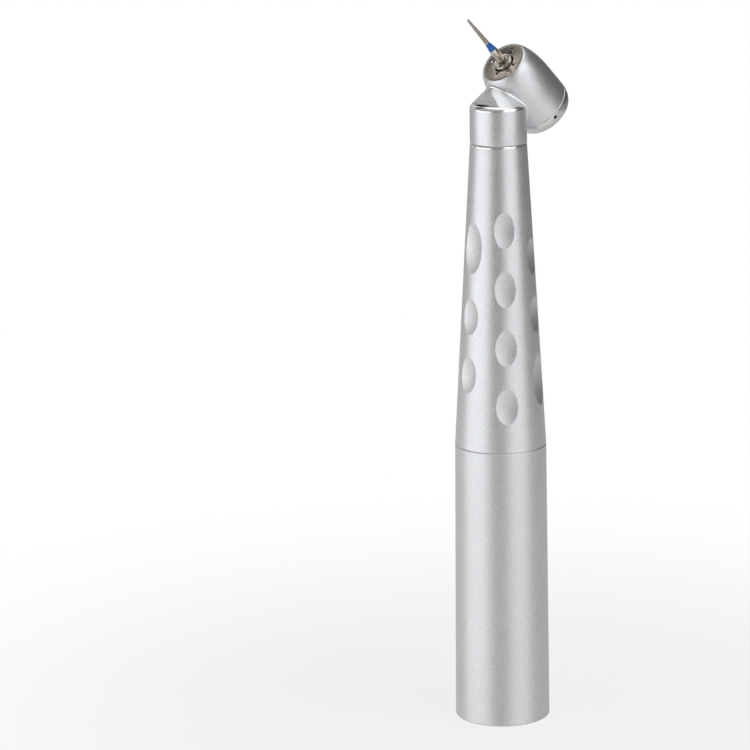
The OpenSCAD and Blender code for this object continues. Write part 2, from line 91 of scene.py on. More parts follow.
# The room: white to the eye. In the metal it is dim on the camera's side, light above and grey below,
# with a paler wall behind to the left, a darker one to the right and a white strip between them.
room_fill, room_front, room_front_top, room_top = 0.45, 0.22, 0.42, 1.45
room_low, room_under, strip_glow = 0.28, 0.75, 1.0
wall_left, wall_left_top, wall_left_back, wall_right, wall_right_top = 0.48, 0.09, 0.80, 0.30, 0.12
room = bpy.data.worlds.new("room")
room.use_nodes = True
room.node_tree.nodes.clear()
ray = add(room.node_tree, "LightPath")
way = add(room.node_tree, "TexCoord").outputs["Generated"]
up = add(room.node_tree, "SeparateXYZ", {"Vector": way}).outputs["Z"]


def toward(side):
    """How far a direction in the room points to a side, from -1 to 1."""
    dot = add(room.node_tree, "VectorMath", {0: way, 1: side}, operation="DOT_PRODUCT")
    return dot.outputs["Value"]


def ramp(value, start, stop, low, high):
    """A soft change from low to high, as a value goes from start to stop."""
    return add(room.node_tree, "MapRange", {
        "Value": value, "From Min": start, "From Max": stop, "To Min": low, "To Max": high,
    }, interpolation_type="SMOOTHSTEP").outputs["Result"]


def brighter(one, other):
    """The brighter of two lights of the room."""
    return add(room.node_tree, "Math", {0: one, 1: other}, operation="MAXIMUM").outputs["Value"]


behind, right = toward(-to_camera), toward(camera_right)
left_fade, left_back, right_fade, walls_meet = (0.15, 0.60), (0.28, 0.68), (-0.16, -0.02), (-0.25, 0.25)
under_fade, low_fade, front_fade, sides_meet = (-0.80, -0.45), (-0.40, 0.0), (0.05, 0.40), (-0.15, 0.15)
top_turn, top_left, top_right, top_full, strip = (-0.60, 0.0), 0.78, 0.66, 0.92, (0.955, 0.995)
left_wall = ramp(up, *left_fade, wall_left, ramp(behind, *left_back, wall_left_top, wall_left_back))
right_wall = ramp(up, *right_fade, wall_right, wall_right_top)
walls = ramp(right, *walls_meet, left_wall, right_wall)
below = ramp(up, *under_fade, room_under, room_low)
front = ramp(up, *front_fade, ramp(up, *low_fade, below, room_front), room_front_top)
sides = ramp(behind, *sides_meet, front, walls)
above = ramp(up, ramp(right, *top_turn, top_left, top_right), top_full, 0.0, room_top)
around_it = brighter(sides, brighter(above, ramp(behind, *strip, 0.0, strip_glow)))
mirrored = brighter(ray.outputs["Is Glossy Ray"], ray.outputs["Is Transmission Ray"])
shown = blend(room.node_tree, mirrored, room_fill, around_it)
seen = blend(room.node_tree, ray.outputs["Is Camera Ray"], shown, 1.0)
glow = add(room.node_tree, "Background", {"Color": (1, 1, 1, 1), "Strength": seen})
add(room.node_tree, "OutputWorld", {"Surface": glow.outputs["Background"]})
bpy.context.scene.world = room

# The lamps: soft boxes that face the handpiece, one left of the camera and two right of it, one above
# the other. Each has its angle from the camera to the right, in degrees, its height, its size and its glow.
box_distance = 0.6


def soft_box(name, angle, height, wide, tall, glow):
    """A soft box that faces the handpiece and looks as bright as its glow, where 1 is white."""
    lamp = bpy.data.lights.new(name, "AREA")
    lamp.shape = "RECTANGLE"
    lamp.size, lamp.size_y = wide, tall
    lamp.energy = glow * math.pi * wide * tall
    box = bpy.data.objects.new(name, lamp)
    turn = math.radians(angle)
    out = to_camera * math.cos(turn) + camera_right * math.sin(turn)
    box.location = out * box_distance + Vector((0, 0, height))
    box.rotation_euler = out.to_track_quat("Z", "Y").to_euler()
    bpy.context.scene.collection.objects.link(box)


soft_box("left_box", -63.5, -0.14, 0.80, 0.64, 1.27)
soft_box("right_box", 45, -0.09, 0.60, 0.72, 0.92)
soft_box("upper_box", 52, 0.49, 0.60, 0.44, 1.30)

# The floor: a plain pale sheet under the handpiece, which fades into the white room around it.
# It is white to the eye but for the handpiece's soft shadow, and shows faintly in the lower metal.
floor_size, floor_near, floor_far, floor_part, floor_glow = 1.0, 0.03, 0.16, 1.0, 0.75
mirror_near, mirror_far, mirror_part, mirror_glow = 0.30, 0.42, 0.58, 0.78
bpy.ops.mesh.primitive_plane_add(size=floor_size)
floor = bpy.context.object
floor.name = "floor"
pale = bpy.data.materials.new("pale_floor")
pale.use_nodes = True
pale.node_tree.nodes.clear()
ray = add(pale.node_tree, "LightPath")
spot = add(pale.node_tree, "VectorMath", {
    0: add(pale.node_tree, "TexCoord").outputs["Object"],
}, operation="LENGTH")


def thinned(near, far, part):
    """How solid the floor is: a part of it up to a near distance, and nothing from a far one on."""
    return add(pale.node_tree, "MapRange", {
        "Value": spot.outputs["Value"], "From Min": near, "From Max": far, "To Min": part, "To Max": 0.0,
    }, interpolation_type="SMOOTHSTEP").outputs["Result"]


in_mirror = ray.outputs["Is Glossy Ray"]
fade, mirror = thinned(floor_near, floor_far, floor_part), thinned(mirror_near, mirror_far, mirror_part)
solid = blend(pale.node_tree, in_mirror, fade, mirror)
sheet = add(pale.node_tree, "BsdfDiffuse", {"Color": (0.92, 0.92, 0.92, 1)})
shine = blend(pale.node_tree, in_mirror, 1.0, mirror_glow)
white = add(pale.node_tree, "Emission", {"Color": (1, 1, 1, 1), "Strength": shine})
bright = add(pale.node_tree, "Math", {
    0: ray.outputs["Is Camera Ray"], 1: floor_glow, 2: in_mirror,
}, operation="MULTIPLY_ADD")
lit = add(pale.node_tree, "MixShader", {
    0: bright.outputs["Value"], 1: sheet.outputs["BSDF"], 2: white.outputs["Emission"],
})
clear = add(pale.node_tree, "BsdfTransparent")
both = add(pale.node_tree, "MixShader", {
    0: solid, 1: clear.outputs["BSDF"], 2: lit.outputs["Shader"],
})
add(pale.node_tree, "OutputMaterial", {"Surface": both.outputs["Shader"]})
floor.data.materials.append(pale)


# The rear sleeve: a plain aluminium tube, a little wider at the rear, with a rounded rear edge.
# It is turned, blasted with fine glass beads and anodised a pearl silver.
def detail_group(name, inputs):
    """An empty shader group with its named inputs and their first values, and its Shade and Height."""
    group = bpy.data.node_groups.new(name, "ShaderNodeTree")
    for label, value in inputs.items():
        kind = "NodeSocketVector" if value is None else "NodeSocketFloat"
        socket = group.interface.new_socket(label, in_out="INPUT", socket_type=kind)
        if value is not None:
            socket.default_value = value
    for label in ("Shade", "Height"):
        group.interface.new_socket(label, in_out="OUTPUT", socket_type="NodeSocketFloat")
    return group, group.nodes.new("NodeGroupInput").outputs, group.nodes.new("NodeGroupOutput").inputs


# Blasted grain: fine pits over a broad, faint unevenness. Grains is the number of pits in a metre.
blasted, given, told = detail_group("blasted_grain", {"Place": None, "Grains": 4200.0, "Cloud": 90.0})
cloud_part = 0.25
pits = add(blasted, "TexNoise", {
    "Vector": given["Place"], "Scale": given["Grains"], "Detail": 2.0, "Roughness": 0.6,
})
cloud = add(blasted, "TexNoise", {"Vector": given["Place"], "Scale": given["Cloud"], "Detail": 3.0})
sharp_pits = add(blasted, "MapRange", {"Value": pits.outputs["Fac"], "From Min": 0.28, "From Max": 0.72})
uneven = blend(blasted, cloud_part, sharp_pits.outputs["Result"], cloud.outputs["Fac"])
blasted.links.new(uneven, told["Shade"])
blasted.links.new(sharp_pits.outputs["Result"], told["Height"])


def finish(name, group, settings, dark, light, smooth, rough, depth, metallic=1.0, axis=None):
    """A material whose colour and roughness run between two values by its detail group's Shade, with
    its Height as a bump of the given depth in metres. An axis is the matrix that the detail follows."""
    material = bpy.data.materials.new(name)
    material.use_nodes = True
    tree = material.node_tree
    shader = tree.nodes["Principled BSDF"]
    place = add(tree, "TexCoord").outputs["Object"]
    if axis is not None:
        place = add(tree, "Mapping", {
            "Vector": place, "Location": axis.to_translation(), "Rotation": axis.to_euler(),
        }, vector_type="TEXTURE").outputs["Vector"]
    detail = add(tree, "Group", {}, node_tree=group)
    for label, value in settings.items():
        detail.inputs[label].default_value = value
    tree.links.new(place, detail.inputs["Place"])
    colour = add(tree, "Mix", {0: detail.outputs["Shade"], 6: (*dark, 1), 7: (*light, 1)}, data_type="RGBA")
    gloss = add(tree, "MapRange", {"Value": detail.outputs["Shade"], "To Min": smooth, "To Max": rough})
    bump = add(tree, "Bump", {"Height": detail.outputs["Height"], "Strength": 1.0, "Distance": depth})
    tree.links.new(colour.outputs[2], shader.inputs["Base Color"])
    tree.links.new(gloss.outputs["Result"], shader.inputs["Roughness"])
    tree.links.new(bump.outputs["Normal"], shader.inputs["Normal"])
    shader.inputs["Metallic"].default_value = metallic
    return material


satin = finish("satin_silver", blasted, {},
               (0.57, 0.582, 0.597), (0.815, 0.83, 0.847), 0.33, 0.44, 0.000013)


def pick(piece):
    """Selects one piece alone and makes it the active one."""
    bpy.ops.object.select_all(action="DESELECT")
    piece.select_set(True)
    bpy.context.view_layer.objects.active = piece


def edit_all(piece):
    """Opens a piece in edit mode with all of it selected."""
    pick(piece)
    bpy.ops.object.mode_set(mode="EDIT")
    bpy.ops.mesh.select_all(action="SELECT")


def point(name, at):
    """A new piece of a single vertex, open in edit mode, as the start of an outline."""
    bpy.ops.mesh.primitive_plane_add(size=MM)
    piece = bpy.context.object
    piece.name = piece.data.name = name
    edit_all(piece)
    bpy.ops.mesh.merge(type="CENTER")
    bpy.ops.transform.translate(value=at)
    return piece


def turned(name, outline, around=160):
    """A turned piece: its outline of (radius, height) in millimetres is drawn and spun round the axis."""
    at = Vector((outline[0][0], 0, outline[0][1])) * MM
    piece = point(name, at)
    closing = outline[:1] if outline[0][0] > 0 else []
    for radius, height in outline[1:] + closing:
        to = Vector((radius, 0, height)) * MM
        bpy.ops.mesh.extrude_region_move(TRANSFORM_OT_translate={"value": to - at})
        at = to
    bpy.ops.mesh.select_all(action="SELECT")
    bpy.ops.mesh.remove_doubles(threshold=1e-7)
    bpy.ops.mesh.spin(steps=around, angle=2 * math.pi, center=(0, 0, 0), axis=(0, 0, 1))
    close_up(piece)
    return piece


def close_up(piece):
    """Merges a piece's doubles, turns its faces outwards and leaves edit mode."""
    if bpy.context.mode != "EDIT_MESH":
        edit_all(piece)
    bpy.ops.mesh.select_all(action="SELECT")
    bpy.ops.mesh.remove_doubles(threshold=1e-6)
    bpy.ops.mesh.normals_make_consistent(inside=False)
    bpy.ops.object.mode_set(mode="OBJECT")


def apply(piece, kind, **settings):
    """Puts a modifier on a piece and applies it."""
    pick(piece)
    made = piece.modifiers.new("step", kind)
    for name, value in settings.items():
        setattr(made, name, value)
    bpy.ops.object.modifier_apply(modifier=made.name)


def soften(piece, edge, angle=30, steps=2):
    """Breaks the sharp edges by a small bevel, in millimetres, and shades the rest smooth."""
    if edge:
        apply(piece, "BEVEL", width=edge * MM, segments=steps, limit_method="ANGLE",
              angle_limit=math.radians(angle), use_clamp_overlap=False)
    pick(piece)
    bpy.ops.object.shade_smooth_by_angle(angle=math.radians(angle))
    apply(piece, "WEIGHTED_NORMAL", keep_sharp=True)


def arc(radius, height, bend, start, stop, steps=8):
    """Points on a round of an outline: its centre, its bend radius, and its first and last angle."""
    turns = [math.radians(start + (stop - start) * i / steps) for i in range(steps + 1)]
    return [(radius + bend * math.cos(t), height + bend * math.sin(t)) for t in turns]


def stand_for(piece, body, node, slot, *materials):
    """Gives a finished piece its materials and puts it in the place of a CAD node."""
    for material in materials:
        piece.data.materials.append(material)
    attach(piece, body)
    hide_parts(node)


mouth_r, mouth_len, sleeve_bore_r, sleeve_joint = 7.7, 7.0, 7.5, 52.7
rear_round, joint_groove = 0.3, 0.12
rear_r, joint_r = 8.85, 8.475
rear_sleeve = turned("rear_sleeve_shell", [
    (mouth_r, 0.0),
    *arc(rear_r - rear_round, rear_round, rear_round, -90, 0),
    (joint_r, sleeve_joint - joint_groove),
    (joint_r - joint_groove, sleeve_joint),
    (sleeve_bore_r, sleeve_joint),
    (sleeve_bore_r, mouth_len),
    (mouth_r, mouth_len),
], around=192)
soften(rear_sleeve, 0.04)
stand_for(rear_sleeve, "body", "rear_sleeve", "satin_metal", satin)

# The coupler socket and the tube block: aluminium turnings pressed into the rear sleeve.
# They keep the fine rings of the lathe tool round the body's axis.
turning, given, told = detail_group("turned_rings", {"Place": None, "Rings": 9000.0, "Smear": 400.0})
smear_part = 0.4
parts = add(turning, "SeparateXYZ", {"Vector": given["Place"]})
flat = add(turning, "CombineXYZ", {"X": parts.outputs["X"], "Y": parts.outputs["Y"]})
out_from_axis = add(turning, "VectorMath", {0: flat.outputs["Vector"]}, operation="LENGTH")
along = add(turning, "CombineXYZ", {"X": out_from_axis.outputs["Value"], "Y": parts.outputs["Z"]})
rings = add(turning, "TexNoise", {
    "Vector": along.outputs["Vector"], "Scale": given["Rings"], "Detail": 2.0,
}, noise_dimensions="2D")
smear = add(turning, "TexNoise", {"Vector": given["Place"], "Scale": given["Smear"], "Detail": 3.0})
ring_part = add(turning, "MapRange", {"Value": rings.outputs["Fac"], "From Min": 0.3, "From Max": 0.7})
ring_mix = blend(turning, smear_part, ring_part.outputs["Result"], smear.outputs["Fac"])
turning.links.new(ring_mix, told["Shade"])
turning.links.new(ring_part.outputs["Result"], told["Height"])


def dress(material, *nodes):
    """Gives a finish to CAD nodes that keep their own shape."""
    for node in nodes:
        frame["nodes"][node].data.materials.clear()
        frame["nodes"][node].data.materials.append(material)


turned_alloy = finish("turned_alloy", turning, {},
                      (0.62, 0.62, 0.63), (0.80, 0.80, 0.81), 0.20, 0.34, 0.000004)
dress(turned_alloy, "coupler_socket", "tube_block")

# The drive air, water and chip air tubes: drawn steel tubes soldered into the tube block.
# Drawing leaves them bright, with faint cloudy marks of the solder's heat.
tube_steel = finish("tube_steel", blasted, {"Grains": 9000.0, "Cloud": 500.0},
                    (0.55, 0.54, 0.52), (0.72, 0.71, 0.69), 0.18, 0.32, 0.000002)
dress(tube_steel, "drive_air_tube", "water_tube", "chip_air_tube")

# The light rod: fused glass from the lamp bore to the window in the neck's ledge. It is drawn round
# and pressed to an oval at the front, where its polished end lies a little below the ledge.
rod_glass = finish("rod_glass", blasted, {"Grains": 1500.0, "Cloud": 300.0},
                   (0.70, 0.80, 0.88), (0.86, 0.92, 0.96), 0.02, 0.08, 0.000002, metallic=0.0)
rod_shader = rod_glass.node_tree.nodes["Principled BSDF"]
rod_shader.inputs["Transmission Weight"].default_value = 1.0
rod_shader.inputs["IOR"].default_value = 1.5
cone_foot, ledge, window_x, window_wide, window_long = 116.35, 116.5, -3.95, 1.3, 3.0
rod_low, rod_r, rod_joint, rod_joint_x, rod_sunk, rod_lap = 46.7, 1.0, 105.0, -2.3, 0.85, 1.0
bar_top, rod_sides = 13.0, 64
rod_lean = math.atan2(rod_joint_x, rod_joint - rod_low)
window_lean = math.atan2(rod_joint_x - window_x, cone_foot - rod_joint)


def seat(piece, place):
    """Moves an upright piece to its place, and leaves its object at the origin."""
    pick(piece)
    piece.matrix_world = place
    bpy.ops.object.transform_apply(location=True, rotation=True, scale=True)


def oval_bar(name, wide, long, low, high):
    """An upright bar of oval section, set on the window's leaning axis between two heights along it."""
    bpy.ops.mesh.primitive_circle_add(vertices=rod_sides, radius=wide / 2 * MM, fill_type="NGON")
    bar = bpy.context.object
    bar.name = bar.data.name = name
    for corner in bar.data.vertices:
        corner.co.y += math.copysign((long - wide) / 2 * MM, corner.co.y)
        corner.co.z = low * MM
    edit_all(bar)
    bpy.ops.mesh.extrude_region_move(TRANSFORM_OT_translate={"value": (0, 0, (high - low) * MM)})
    close_up(bar)
    seat(bar, window_place)
    return bar


def trim(piece, height, way):
    """Cuts a piece off level at a height and closes the cut. The way is 1 for its top, -1 for its foot."""
    edit_all(piece)
    bpy.ops.mesh.bisect(plane_co=(0, 0, height * MM), plane_no=(0, 0, way), use_fill=True, clear_outer=True)
    close_up(piece)


def weld(piece, gap):
    """Joins the corners of a cut piece that lie closer together than a gap, in millimetres. They are put
    in one order first, by their distance from a spot off every plane of symmetry."""
    edit_all(piece)
    bpy.context.scene.cursor.location = lopsided_spot
    bpy.ops.mesh.sort_elements(type="CURSOR_DISTANCE", elements={"VERT", "EDGE", "FACE"})
    bpy.context.scene.cursor.location = (0, 0, 0)
    bpy.ops.mesh.remove_doubles(threshold=gap * MM)
    bpy.ops.object.mode_set(mode="OBJECT")


lopsided_spot = (0.031, 0.017, 0.053)
window_place = (
    Matrix.Translation(Vector((rod_joint_x, 0, rod_joint)) * MM) @ Matrix.Rotation(-window_lean, 4, "Y")
)
rod_end = oval_bar("light_rod_glass", window_wide, window_long, -rod_lap, bar_top)
rod_long = rod_joint - rod_low
bpy.ops.mesh.primitive_cylinder_add(
    vertices=rod_sides, radius=rod_r * MM, depth=(rod_long + 2 * rod_lap) * MM,
)
rod_body = bpy.context.object
seat(rod_body, Matrix.Rotation(rod_lean, 4, "Y") @ Matrix.Translation((0, 0, rod_long / 2 * MM)))
seat(rod_body, Matrix.Translation((0, 0, rod_low * MM)))
apply(rod_end, "BOOLEAN", object=rod_body, operation="UNION", solver="EXACT")
bpy.data.objects.remove(rod_body)
trim(rod_end, ledge - rod_sunk, 1)
trim(rod_end, rod_low, -1)
weld(rod_end, 0.04)
soften(rod_end, 0.01)
stand_for(rod_end, "body", "light_rod", "light_glass", rod_glass)

# The seal rings of the sleeves and the neck, and the rings that carry the bearings.
# They are moulded in black rubber with a dull skin.
rubber = finish("seal_rubber", blasted, {"Grains": 6000.0, "Cloud": 900.0},
                (0.012, 0.012, 0.013), (0.035, 0.035, 0.037), 0.45, 0.65, 0.000008, metallic=0.0)
dress(rubber, "sleeve_seal", "neck_seal", "front_o_ring", "rear_o_ring")

# The grip sleeve: a long cone of the same blasted silver, pushed on the rear sleeve by a sealed spigot.
# Six columns of finger dimples are cut in it by a crowned cutter that plunges square to the cone, and
# its front edge is rounded and polished, with a lighter colour as a painted highlight.
neck_joint, neck_r, spigot_r, spigot_low = 109.3, 5.22, 7.5, 48.7
grip_bore_r, grip_bore_front, neck_bore_r, neck_low = 6.0, 58.7, 4.15, 104.3
seal_r, seal_low, seal_high, grip_edge = 6.8, 50.2, 51.2, 0.42
grip_slope = math.atan((joint_r - neck_r) / (neck_joint - sleeve_joint - 2 * joint_groove))
cone_rows = 72
cone = [
    (joint_r + (neck_r - joint_r) * i / cone_rows,
     sleeve_joint + joint_groove + (neck_joint - sleeve_joint - 2 * joint_groove) * i / cone_rows)
    for i in range(cone_rows + 1)
]


def quarter_oval(x, z, deep, tall, steps):
    """Points on an outline's edge that is a quarter of an oval about (x, z), from its side to its top."""
    turns = (math.radians(90 * i / steps) for i in range(steps + 1))
    return [(x + deep * math.cos(t), z + tall * math.sin(t)) for t in turns]


grip = turned("grip_shell", [
    (grip_bore_r, spigot_low),
    (spigot_r, spigot_low),
    (spigot_r, seal_low),
    (seal_r, seal_low),
    (seal_r, seal_high),
    (spigot_r, seal_high),
    (spigot_r, sleeve_joint),
    (joint_r - joint_groove, sleeve_joint),
    *cone[:-1],
    *quarter_oval(neck_r - joint_groove, neck_joint - grip_edge, joint_groove, grip_edge, 3),
    (neck_bore_r, neck_joint),
    (neck_bore_r, neck_low),
    (neck_bore_r + 0.15, neck_low - 0.2),
    (grip_bore_r, grip_bore_front),
], around=192)
crown_r, crown_steps, swing_steps, swing_lap, cutter_tall = 12.69, 12, 44, 0.8, 1.8


def dimple_form(length, depth, half_wide):
    """The form of one dimple, lying at the origin and open to +X: a strip of a crowned cutter's rim."""
    wheel = (length ** 2 / 4 + depth ** 2) / (2 * depth)
    hub = Vector((wheel - depth, 0, 0)) * MM
    swing = (length / 2 + swing_lap) / wheel
    crown = math.asin(half_wide / crown_r)
    across = []
    for i in range(2 * crown_steps + 1):
        side = crown * (i / crown_steps - 1)
        rim = Vector((crown_r - wheel - crown_r * math.cos(side), crown_r * math.sin(side), 0)) * MM
        across.append(hub + Matrix.Rotation(swing, 3, "Y") @ rim)
    cutter = point("dimple_cutter", across[0])
    for at, to in zip(across, across[1:]):
        bpy.ops.mesh.extrude_region_move(TRANSFORM_OT_translate={"value": to - at})
    bpy.ops.mesh.select_all(action="SELECT")
    bpy.ops.mesh.spin(steps=swing_steps, angle=2 * swing, center=hub, axis=(0, 1, 0))
    bpy.ops.mesh.select_all(action="SELECT")
    bpy.ops.mesh.extrude_region_move(TRANSFORM_OT_translate={"value": (cutter_tall * MM, 0, 0)})
    close_up(cutter)
    return cutter


def copy_to(piece, place):
    """A copy of a piece with its own mesh, moved by a matrix."""
    copy = piece.copy()
    copy.data = piece.data.copy()
    copy.data.transform(place)
    bpy.context.scene.collection.objects.link(copy)
    return copy


def join(pieces):
    """Makes one piece of several."""
    bpy.ops.object.select_all(action="DESELECT")
    for piece in pieces:
        piece.select_set(True)
    bpy.context.view_layer.objects.active = pieces[0]
    bpy.ops.object.join()
    return pieces[0]


def cut(piece, cutter):
    """Takes a cutter's form out of a piece."""
    apply(piece, "BOOLEAN", object=cutter, operation="DIFFERENCE", solver="EXACT")
    bpy.data.objects.remove(cutter)


dimple_pitch, dimple_top, dimple_middle, dimple_turn = 10.87, 94.0, 77.695, -3.8
long_low, long_high = 65.425, 90.365
usual_cut = dimple_form(6.7, 0.45, 2.8)
long_cut = dimple_form(9.5, 0.61, 3.2)
cuts = []
for turn in (0, 120, 240):
    cuts += [(usual_cut, turn, dimple_top - i * dimple_pitch) for i in range(4)]
for turn in (60, 180, 300):
    back = turn == 180
    cuts.append((usual_cut, turn, dimple_middle))
    cuts.append((usual_cut, turn, dimple_middle + (-dimple_pitch if back else dimple_pitch)))
    cuts.append((long_cut, turn, long_high if back else long_low))
dimples = []
for form, turn, height in cuts:
    surface = neck_r + (neck_joint - height) * math.tan(grip_slope)
    dimples.append(copy_to(form, (
        Matrix.Rotation(math.radians(turn + dimple_turn), 4, "Z")
        @ Matrix.Translation((surface * MM, 0, height * MM))
        @ Matrix.Rotation(-grip_slope, 4, "Y")
    )))
bpy.data.objects.remove(usual_cut)
bpy.data.objects.remove(long_cut)
cut(grip, join(dimples))
weld(grip, 0.10)
# The front edge's faces take the polished finish, whose lighter colour is a painted highlight.
for side in grip.data.polygons:
    outside = side.center.xy.length > (neck_r - joint_groove) * MM
    side.material_index = 1 if outside and side.center.z > (neck_joint - grip_edge) * MM else 0
soften(grip, 0.03, angle=7)
# The polished edge: smoother than the satin, with a lighter colour as a painted highlight.
polished_edge_and_highlight = finish("polished_edge_and_highlight", blasted, {"Grains": 2800.0, "Cloud": 600.0},
                       (0.72, 0.73, 0.74), (0.92, 0.93, 0.94), 0.14, 0.24, 0.000004)
stand_for(grip, "body", "grip_sleeve", "satin_metal", satin, polished_edge_and_highlight)

# The neck: a silver collar pushed in the grip, with a cone on top that the head is brazed to. On the
# bur's side it is milled to a steep face over a flat ledge, where the rod sits in a pocket whose walls
# are painted near black as painted shade. The collar's upper edge is polished like the grip's, and is
# painted lighter as a painted highlight.
spin_joint = next(joint for joint in frame["joints"] if joint["name"] == "rotor_spin")
face = Vector(spin_joint["pos_m"])
head_turn = math.radians(135)
in_head = Matrix.Translation(face) @ Matrix.Rotation(head_turn, 4, "Y")
rim_front, rim_r, shoulder_len, shoulder_curve, head_r, cap_front = -0.42, 4.3, 7.0, 0.7, 5.84, 11.65
ledge_chord, ledge_lean, collar_round, collar_bend, cone_lean = 3.15, math.radians(16), 0.3, 1.0, 45
collar_edge = collar_round + collar_bend * math.tan(math.radians(cone_lean / 2))
cone_top, cone_step, collar_middle = cone_foot + neck_r - collar_round, 0.4, 112.0
neck_hollow_r, neck_roof, neck_seal_r, neck_seal_low, neck_seal_high = 3.5, 113.5, 3.8, 106.3, 106.8
cut_tall, cut_back, cut_wide, barrel_end = 8.0, 6.0, 16.0, 13.0
window_gap, window_foot, hair, edge_deep = 0.02, 8.4, 0.01, 0.5
shoulder = [
    (rim_r + (head_r - rim_r) * math.sin(t) ** (2 * shoulder_curve),
     rim_front + shoulder_len * (1 - math.cos(t)))
    for t in (math.radians(90 * i / 24) for i in range(25))
]
neck = turned("neck_shell", [
    (0.0, neck_roof),
    (neck_hollow_r, neck_roof),
    (neck_hollow_r, neck_low),
    (neck_bore_r, neck_low),
    (neck_bore_r, neck_seal_low),
    (neck_seal_r, neck_seal_low),
    (neck_seal_r, neck_seal_high),
    (neck_bore_r, neck_seal_high),
    (neck_bore_r, neck_joint),
    (neck_r - joint_groove, neck_joint),
    (neck_r, neck_joint + joint_groove),
    (neck_r, collar_middle),
    *arc(neck_r - collar_bend, cone_foot - collar_edge, collar_bend, 0, cone_lean, 9),
    *[(neck_r - collar_round - cone_step * i, cone_foot + cone_step * i) for i in range(1, 12)],
    (0.0, cone_top),
], around=192)
bpy.ops.mesh.primitive_cube_add(size=1)
milling = bpy.context.object
for corner in milling.data.vertices:
    above = corner.co.z > 0
    near = -ledge_chord + (cut_tall * math.tan(ledge_lean) if above else 0)
    corner.co = Vector((
        near if corner.co.x > 0 else -ledge_chord - cut_back,
        cut_wide * corner.co.y,
        ledge + (cut_tall if above else 0),
    )) * MM
cut(neck, milling)
barrel = turned("barrel_cutter", [
    (0.0, rim_front),
    *shoulder,
    (head_r, barrel_end),
    (0.0, barrel_end),
], around=192)
seat(barrel, in_head)
cut(neck, barrel)
cut(neck, oval_bar(
    "window_cutter", window_wide + 2 * window_gap, window_long + 2 * window_gap, window_foot, bar_top,
))
weld(neck, 0.04)
into_window = window_place.inverted()
for side in neck.data.polygons:
    at, height = into_window @ side.center / MM, side.center.z / MM
    in_window = max(abs(at.x) - window_wide / 2, abs(at.y) - window_long / 2) < window_gap + hair
    on_edge = cone_foot - collar_edge < height < ledge - hair
    # The collar's upper edge takes the polished finish, whose lighter colour is a painted highlight.
    if on_edge and side.center.xy.length > (neck_r - edge_deep) * MM:
        side.material_index = 3
    elif height > ledge and abs(side.normal.x + math.cos(ledge_lean)) < hair:
        side.material_index = 2
    # The window pocket's walls below the ledge get the near-black painted shade.
    elif in_window and at.z > window_foot + hair and height < ledge - hair:
        side.material_index = 1
    else:
        side.material_index = 0
soften(neck, 0.03, angle=22)
# Painted shade: a near-black colour for the window pocket's walls, standing in for the shade inside it.
pocket_shade = finish("painted_pocket_shade", blasted, {"Grains": 5000.0, "Cloud": 1500.0},
               (0.006, 0.006, 0.007), (0.022, 0.022, 0.024), 0.35, 0.55, 0.000006, metallic=0.0)
milled = finish("milled_silver", blasted, {"Grains": 2800.0, "Cloud": 600.0},
                (0.42, 0.43, 0.44), (0.94, 0.95, 0.96), 0.34, 0.48, 0.000012)
stand_for(neck, "body", "neck", "satin_metal", satin, pocket_shade, milled, polished_edge_and_highlight)

# The head housing: a barrel that carries the turbine, turned in one piece and blasted like the sleeves.
# Its front rim runs into a long shoulder, and the seats of the bearings are stepped inside.
plate_r, plate_back, front_bore_r, rim_break = 4.2, 1.15, 2.6, 0.06
seat_r, seat_front, chamber_r, chamber_front = 3.25, 1.45, 4.5, 4.05
screw_r, screw_front, barrel_middle, cap_break = 4.9, 8.1, 8.0, 0.08
head = turned("head_shell", [
    (plate_r, rim_front + rim_break),
    (plate_r + rim_break, rim_front),
    *shoulder,
    (head_r, barrel_middle),
    (head_r, cap_front - cap_break),
    (head_r - cap_break, cap_front),
    (screw_r, cap_front),
    (screw_r, screw_front),
    (chamber_r, screw_front),
    (chamber_r, chamber_front),
    (seat_r, chamber_front),
    (seat_r, seat_front),
    (front_bore_r, seat_front),
    (front_bore_r, plate_back),
    (plate_r, plate_back),
], around=192)
seat(head, in_head)
soften(head, 0.03)
stand_for(head, "body", "head_housing", "satin_metal", satin)

# The braze seam: a thin fillet of silver solder where the neck's cone and collar meet the barrel.
# It is left bright, with the small ripples of the melt.
solder = finish("silver_solder", blasted, {"Grains": 2500.0, "Cloud": 700.0},
                (0.84, 0.84, 0.83), (0.95, 0.95, 0.94), 0.20, 0.32, 0.000006)
seam_bead, seam_off, seam_points, seam_low, halvings = 0.24, 0.12, 240, 110.0, 40
from_head = in_head.inverted()


def neck_reach(turn, height):
    """How far the neck's outside is from the body's axis, at a turn and a height, in millimetres."""
    reach = min(neck_r, neck_r - collar_round + cone_foot - height)
    if height > ledge and math.cos(turn) < 0:
        milled = (ledge_chord - (height - ledge) * math.tan(ledge_lean)) / -math.cos(turn)
        reach = min(reach, milled)
    return max(reach, 0.0)


def barrel_gap(turn, height):
    """How far the neck's outside at a turn and a height lies outside the barrel, and where it is."""
    reach = neck_reach(turn, height)
    spot = Vector((reach * math.cos(turn), reach * math.sin(turn), height)) * MM
    inside = from_head @ spot / MM
    drop = min(max(1 - (inside.z - rim_front) / shoulder_len, 0.0), 1.0)
    wall_r = rim_r + (head_r - rim_r) * (1 - drop ** 2) ** shoulder_curve
    return math.hypot(inside.x, inside.y) - wall_r, spot


bpy.ops.mesh.primitive_circle_add(vertices=seam_points, radius=neck_r * MM)
seam = bpy.context.object
for corner in seam.data.vertices:
    turn = math.atan2(corner.co.y, corner.co.x)
    outer, inner = seam_low, cone_top - cone_step
    for _ in range(halvings):
        middle = (outer + inner) / 2
        gap, spot = barrel_gap(turn, middle)
        outer, inner = (middle, inner) if gap > seam_off else (outer, middle)
    corner.co = spot


